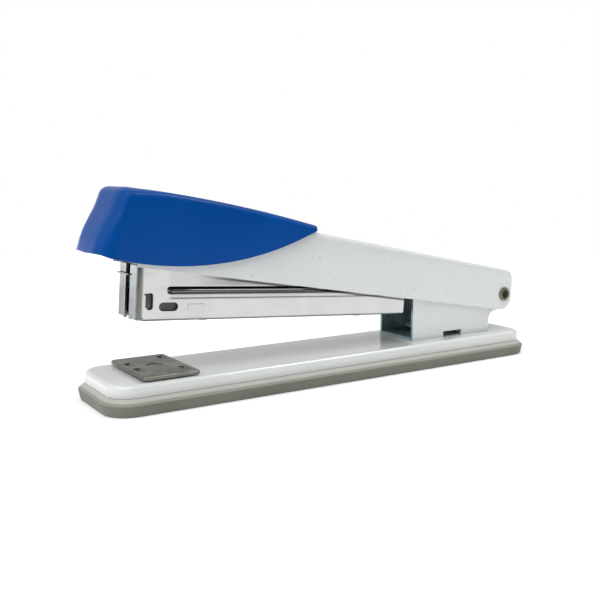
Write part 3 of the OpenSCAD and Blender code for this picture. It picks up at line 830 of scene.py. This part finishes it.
ANVIL_SPRING_Z, ANVIL_SPRING_LENGTH = 2.75, plate_top - 3.8
FOLLOWER_U, FOLLOWER_W, FOLLOWER_LENGTH = -131.45, -3.0, 81.75
HANDLE_SPRING_U, HANDLE_SPRING_W = -39, 6.25

spring = coil("anvil_return_spring", "base", "anvil_spring",
              lambda x, y, z: (anvil.x + x, y, ANVIL_SPRING_Z + z),
              radius=4.4, wire=0.4, length=ANVIL_SPRING_LENGTH, turns=3)
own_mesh(spring)

spring = coil("follower_coil", "magazine", "follower_spring",
              lambda x, y, z: mag(FOLLOWER_U + z, y, FOLLOWER_W - x),
              radius=1.6, wire=0.28, length=FOLLOWER_LENGTH, turns=24, steps=16, sides=6)
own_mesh(spring)

# the handle's spring is drawn at the length that it has with the handle pressed down
coil("handle_return_spring", "magazine", "handle_spring",
     lambda x, y, z: mag(HANDLE_SPRING_U + x, y, HANDLE_SPRING_W + z),
     radius=3.4, wire=0.36, length=3.2, turns=3)

# ---- handle ----

HANDLE_HALF, HANDLE_CORNER, HANDLE_SHEET = 10.4, 1.8, 0.9
HANDLE_FRONT, HANDLE_TOP = -145.6, 9.2
# the lower edge: its height at u = -1 and its slope, then the centre and radius of the round part
LOW_W, LOW_SLOPE = -5.95, math.tan(math.radians(1.6))
ROUND_LOW_U, ROUND_LOW_W, ROUND_LOW_R = -0.6, -1.25, 4.7
# the upper rear corner's centre and radius, then where the straight rear edge starts and its slope
ROUND_TOP_U, ROUND_TOP_W, ROUND_TOP_R = 0.6, 6.6, 2.6
REAR_U, REAR_W, REAR_SLOPE = 3.04, 7.5, -6.1
REAR_US = [-0.8, -0.2, 0.4, 0.9, 1.4, 1.9, 2.35, 2.7, 3.04, 3.3, 3.55, 3.75, 3.9, 4.0, 4.06]


def handle_low(u):
    """The handle's lower edge: nearly straight, then round under the pin."""
    if u < -0.8:
        return LOW_W + (u + 1.0) * LOW_SLOPE
    return ROUND_LOW_W - math.sqrt(max(ROUND_LOW_R ** 2 - (u - ROUND_LOW_U) ** 2, 0.0))


def handle_top(u):
    """The handle's upper edge: flat, then a round corner and the straight rear edge."""
    if u < ROUND_TOP_U + 0.3:
        return HANDLE_TOP
    if u < REAR_U:
        return ROUND_TOP_W + math.sqrt(max(ROUND_TOP_R ** 2 - (u - ROUND_TOP_U) ** 2, 0.0))
    return REAR_W + (u - REAR_U) * REAR_SLOPE


def handle_section(u):
    """(y, w) points up one side, over the top and down the other."""
    top, low = handle_top(u), handle_low(u)
    c = min(HANDLE_CORNER, max(top - low, 0.2) / 2)
    left = [(-HANDLE_HALF, low + (top - c - low) * k / 5) for k in range(5)]
    left += [(y, w) for y, w in arc(c - HANDLE_HALF, top - c, c, 180, 90, 6)]
    return left + [(y, top) for y in (-6, -3, 0, 3, 6)] + [(-y, w) for y, w in reversed(left)]


bm = bmesh.new()
us = [HANDLE_FRONT + 144.4 * i / 40 for i in range(41)] + REAR_US
grid(bm, [[hnd(u, y, w) for y, w in handle_section(u)] for u in us])
finish_piece("handle_pressing", bm, "handle", "white_paint", ["handle_shell", "leaf_rivets"],
             thickness=HANDLE_SHEET, bevel=0.2, angle=50, sharp=60)
refined("driver_blade", "handle", "spring_steel", bevel=0.06, look="anvil_steel")
refined("driver_leaf", "handle", "rivet_bronze", bevel=0.12)

# ---- cap ----

# centres and radii of the arcs of the crest and of the lower edge, in side view
CREST_X, CREST_Z, CREST_R = -132.5, -382.2, 449.81
BELLY_X, BELLY_Z, BELLY_R = -52.4, 142.7, 102.0
# the front face from its lower corner, then the front upper corner and the crest: (x, z)
PROFILE = ([(-82.5, 45.4), (-82.2, 46.5), (-81.4, 48.9), (-80.1, 51.9), (-78.5, 54.8), (-76.75, 57.7)]
           + arc(-72.3, 60.6, 2.95, 165, 83, 8) + arc(CREST_X, CREST_Z, CREST_R, 82.0, 74.36, 40))
CAP_HALF, CAP_SHEET = 11.9, 1.25
# steps along the profile, and the first one after the front lower edge that has a section of its own
STEPS, FIRST = 110, 4
# where the side's lower edge leaves the front
SIDE_FRONT_X = -77.4
# the round edge between the top and a side: how far it drops and how wide it is, first at the front's
# foot, then (new value, start, end of the change) in millimetres along the profile
EDGE_DROP = (4.4, (2.75, 3, 13), (2.2, 20, 32))
EDGE_WIDTH = (5.4, (6.3, 5, 11), (2.3, 18, 33))
CROWN = 0.25
SIDE_STEPS = 8
TOP_SHARES = (-0.75, -0.5, -0.25, 0, 0.25, 0.5, 0.75)
QUARTER = [math.radians(a) for a in range(0, 91, 15)]
# the rear lip stands on the handle's top: u of its two ends, their upper heights z, and its half width
LIP_US, LIP_TOPS, LIP_HALF = (-94.0, -87.95), (50.6, 50.2), 9.9


def belly(x):
    """Height of the cap's lower edge."""
    return BELLY_Z - math.sqrt(BELLY_R ** 2 - (x - BELLY_X) ** 2)


def catmull_rom(p0, p1, p2, p3, t):
    return 0.5 * ((2 * p1) + (p2 - p0) * t + (2 * p0 - 5 * p1 + 4 * p2 - p3) * t * t
                  + (3 * p1 - p0 - 3 * p2 + p3) * t ** 3)


def smooth_path(pts, n):
    """Points at even spacing along a smooth curve through pts, and the curve's length."""
    pts = [Vector(p) for p in pts]
    ends = [pts[0]] + pts + [pts[-1]]
    fine = [catmull_rom(*ends[i:i + 4], k / 12) for i in range(len(pts) - 1) for k in range(12)]
    fine.append(pts[-1])
    run = [0.0]
    for a, b in zip(fine, fine[1:]):
        run.append(run[-1] + (b - a).length)
    out = []
    k = 0
    for i in range(n + 1):
        s = run[-1] * i / n
        while k < len(run) - 2 and run[k + 1] < s:
            k += 1
        out.append(fine[k].lerp(fine[k + 1], (s - run[k]) / (run[k + 1] - run[k])))
    return out, run[-1]


def cap_sections():
    """Rows of points across the cap: up the left side, over the top and down the right side."""
    path, total = smooth_path(PROFILE, STEPS)
    rear_x = path[-1].x
    rows = []
    for i in (0, *range(FIRST, STEPS + 1)):
        p = path[i]
        s = total * i / STEPS
        drop = eased(s, *EDGE_DROP)
        wide = eased(s, *EDGE_WIDTH)
        if s > 30:
            # near the rear end the side is too low for the whole edge
            drop = min(drop, 0.6 * (p.y - belly(p.x)))
        flat = CAP_HALF - wide
        crown = 0.0
        if i == 0:
            right = []
            for f in QUARTER:
                lift = (belly(p.x + drop) - p.y) * step(0, 1, 1 - math.cos(f))
                right.append((p.x + drop * (1 - math.cos(f)), flat + wide * math.sin(f), p.y + lift))
            right += right[-1:] * SIDE_STEPS
        else:
            t = (path[min(i + 1, STEPS)] - path[i - 1]).normalized()
            inward = Vector((t.y, -t.x)) * drop
            right = []
            for f in QUARTER:
                q = p + inward * (1 - math.cos(f))
                right.append((q.x, flat + wide * math.sin(f), q.y))
            foot_x = SIDE_FRONT_X + (rear_x - SIDE_FRONT_X) * ((i - FIRST) / (STEPS - FIRST)) ** 1.02
            foot = Vector((foot_x, belly(foot_x)))
            for k in range(1, SIDE_STEPS + 1):
                side_point = (p + inward).lerp(foot, k / SIDE_STEPS)
                right.append((side_point.x, CAP_HALF, side_point.y))
            crown = CROWN * step(20, 45, s)
        top = [(p.x, flat * v, p.y + crown * (1 - v * v)) for v in TOP_SHARES]
        rows.append([(x, -y, z) for x, y, z in reversed(right)] + top + right)
    return rows


bm = bmesh.new()
wall = bm.verts.layers.deform.verify()
rows = grid(bm, cap_sections())
for i, row in enumerate(rows):
    # the wall thins towards the rear end
    for v in row:
        v[wall][0] = min(1.0, 0.12 + 0.1 * (len(rows) - 1 - i))
finish_piece("cap_moulding", bm, "handle", "blue_cap", ["handle_cap"], thickness=CAP_SHEET, wall="wall",
             even=False, bevel=0.3, angle=55, sharp=70, merge=0.01)

bm = bmesh.new()
front, rear = [hnd(u, 0, HANDLE_TOP - 0.04) for u in LIP_US]
prism(bm, [(front[0], front[2]), (rear[0], rear[2]), (rear[0], LIP_TOPS[1]), (front[0], LIP_TOPS[0])],
      -LIP_HALF, LIP_HALF, to_row=straight)
finish_piece("cap_lip", bm, "handle", "blue_cap", [], bevel=0.2)

# ---- floor ----

FLOOR_Z = -0.02
FLOOR_RADII = (20, 80, 160, 260, 360, 460)


def floor():
    bm = bmesh.new()
    rows = [[(x, y, FLOOR_Z) for x, y in circle(0, 0, r, 64)] for r in FLOOR_RADII]
    bm.faces.new(grid(bm, rows, wrap=True)[0])
    ob = to_object("floor", bm)
    m, nt, bsdf = new_material("floor_white")
    cloud = noise(nt, coords(nt), size=60, detail=2)
    base = mix_colour(nt, cloud, (0.97, 0.97, 0.97), (0.98, 0.98, 0.98))
    link(nt, base, bsdf.inputs["Base Color"])
    bsdf.inputs["Roughness"].default_value = 0.9
    bsdf.inputs["Specular IOR Level"].default_value = 0.1
    bsdf.inputs["Emission Color"].default_value = (1, 1, 1, 1)
    bsdf.inputs["Emission Strength"].default_value = 0.1
    ob.data.materials.append(m)


floor()

# ---- light ----

scene = bpy.context.scene


def mix_number(nt, factor, a, b):
    """Mixes a socket with a number."""
    m = nt.nodes.new("ShaderNodeMix")
    link(nt, factor, m.inputs["Factor"])
    link(nt, a, m.inputs["A"])
    m.inputs["B"].default_value = b
    return m.outputs["Result"]


def studio():
    """A bright wall behind with a brighter strip at its foot, a dim room in front, and a light ceiling.

    The camera itself sees plain white.
    """
    world = bpy.data.worlds.new("studio")
    scene.world = world
    world.use_nodes = True
    nt = world.node_tree
    background = nt.nodes["Background"]
    direction = axes(nt, nt.nodes.new("ShaderNodeTexCoord").outputs["Generated"])
    room = remap(nt, direction["Y"], (-0.25, 0.35), (0.12, 0.56))
    strip = maths(nt, "MULTIPLY", remap(nt, direction["Z"], (-0.3, -0.2), (0, 1)),
                  remap(nt, direction["Z"], (0.03, 0.11), (1.5, 0)))
    strip = maths(nt, "MULTIPLY", strip, remap(nt, direction["Y"], (0.4, 0.7), (0, 1)))
    ceiling = remap(nt, direction["Z"], (0.25, 0.75), (0.0, 1.0))
    level = mix_number(nt, ceiling, maths(nt, "ADD", room, strip), 0.82)
    seen = nt.nodes.new("ShaderNodeLightPath").outputs["Is Camera Ray"]
    link(nt, mix_number(nt, seen, level, 1.0), background.inputs["Strength"])
    background.inputs["Color"].default_value = (1.0, 1.0, 1.0, 1)


def sun(name, towards, strength, angle):
    """A sun that shines from a direction, angle degrees wide."""
    light = bpy.data.lights.new(name, "SUN")
    light.energy, light.angle = strength, math.radians(angle)
    place(name, light, Vector(towards))


def place(name, data, back):
    """Adds a light or camera whose back points along a direction."""
    ob = bpy.data.objects.new(name, data)
    ob.rotation_mode = "QUATERNION"
    ob.rotation_quaternion = (-back).to_track_quat("-Z", "Y")
    scene.collection.objects.link(ob)
    return ob


studio()
sun("soft_key", (-0.45, -0.28, 0.9), strength=1.25, angle=60)
sun("edge_light", (0.535, -0.15, 0.83), strength=0.5, angle=14)
sun("left_fill", (-0.92, 0.05, 0.38), strength=0.38, angle=50)

# ---- camera ----

EYE, TARGET = Vector((-158.41, -230.15, 67.63)), Vector((-7.668, 4.037, 25.055))

camera = bpy.data.cameras.new("camera")
camera.lens, camera.sensor_width = 50.107, 36.0
camera.clip_start, camera.clip_end = 0.01, 60
eye = place("camera", camera, (EYE - TARGET).normalized())
eye.location = EYE * MM
scene.camera = eye
scene.view_settings.view_transform = "Standard"

bpy.context.view_layer.update()
